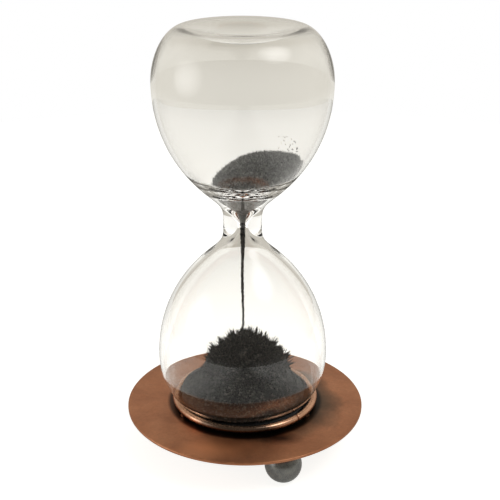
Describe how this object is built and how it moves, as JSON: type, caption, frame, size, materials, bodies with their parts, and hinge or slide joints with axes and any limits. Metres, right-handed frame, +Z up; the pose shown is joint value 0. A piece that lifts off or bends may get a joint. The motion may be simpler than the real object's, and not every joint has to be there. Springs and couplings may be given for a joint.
{
  "type": "magnetic hourglass desk sculpture",
  "caption": "Blown glass hourglass of iron filings standing in a copper wire collar on a thin round plate with a magnet and ball feet.",
  "frame": {"origin": "on the surface the object stands on, on the vertical axis of the base plate", "axes": "+Z up along the hourglass, +X to the right and -Y towards the viewer in the view with one ball foot showing at the front right"},
  "size_m": [0.1, 0.1, 0.1752],
  "materials": {
    "antique_copper": "antique copper, satin, darkened around the collar",
    "collar_copper": "copper plated wire, polished and lightly tarnished",
    "ball_steel": "nickel plated, polished",
    "stud_steel": "plain zinc",
    "ferrite": "matte sintered ferrite",
    "felt": "black felt",
    "clear_glass": "clear, hand blown, very slightly warm",
    "iron_filings": "loose dark iron filings"
  },
  "bodies": {
    "base": {"base_plate": "antique_copper", "collar_ring": "collar_copper", "collar_peg_1": "collar_copper", "collar_peg_2": "collar_copper", "collar_peg_3": "collar_copper", "seat_pad": "felt", "base_magnet": "ferrite", "foot_ball_1": "ball_steel", "foot_ball_2": "ball_steel", "foot_ball_3": "ball_steel", "foot_stud_1": "stud_steel", "foot_stud_2": "stud_steel", "foot_stud_3": "stud_steel"},
    "glass": {"glass_body": "clear_glass", "fill_plug": "clear_glass", "filings_upper": "iron_filings", "filings_stream": "iron_filings", "filings_crown": "iron_filings", "filings_bed": "iron_filings"}
  },
  "joints": [
    {"name": "glass_lift", "type": "slide", "parent": "base", "child": "glass", "axis": [0, 0, 1], "range_m": [0, 0.06]}
  ]
}
